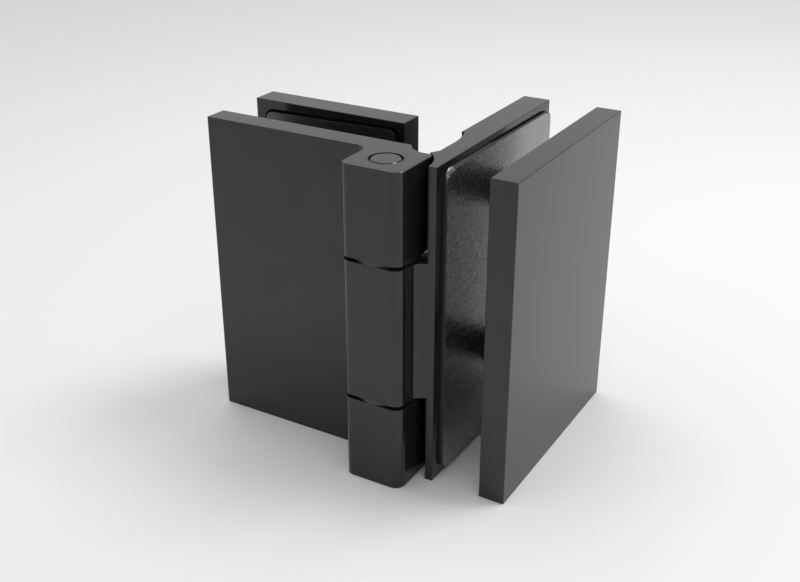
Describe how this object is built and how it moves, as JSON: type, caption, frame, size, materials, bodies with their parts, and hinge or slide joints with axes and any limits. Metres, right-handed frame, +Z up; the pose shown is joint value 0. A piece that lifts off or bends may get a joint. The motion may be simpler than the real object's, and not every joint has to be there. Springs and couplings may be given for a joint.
{
  "type": "glass door hinge",
  "caption": "Knuckle hinge with square barrels and two pairs of flat clamp plates that grip the edges of two glass sheets, shown open at a right angle.",
  "frame": {"origin": "on the pin axis, in the plane of the lower ends of the plates and knuckles", "axes": "+Z up along the pin, the fixed leaf runs along -X, the swinging leaf along +Y"},
  "size_m": [0.0952, 0.0757, 0.09],
  "materials": {
    "black_plate": "satin",
    "pin": "satin",
    "screw": "satin",
    "gasket": "satin",
    "sleeve": "matte",
    "bearing": "matte"
  },
  "bodies": {
    "fixed_leaf": {"front_plate": "black_plate", "back_plate": "black_plate", "front_gasket": "gasket", "back_gasket": "gasket", "fixed_lower_sleeve": "sleeve", "fixed_upper_sleeve": "sleeve", "fixed_clamp_screws": "screw", "hinge_pin": "pin", "set_screws": "screw"},
    "swing_leaf": {"swing_plate": "black_plate", "outer_plate": "black_plate", "swing_gasket": "gasket", "outer_gasket": "gasket", "swing_lower_sleeve": "sleeve", "swing_upper_sleeve": "sleeve", "swing_clamp_screws": "screw", "lower_bush": "bearing", "upper_bush": "bearing", "lower_washer": "bearing", "upper_washer": "bearing"}
  },
  "joints": [
    {"name": "leaf_turn", "type": "hinge", "parent": "fixed_leaf", "child": "swing_leaf", "pos_m": [0, 0, 0], "axis": [0, 0, 1], "range_deg": [-180, 25]}
  ]
}
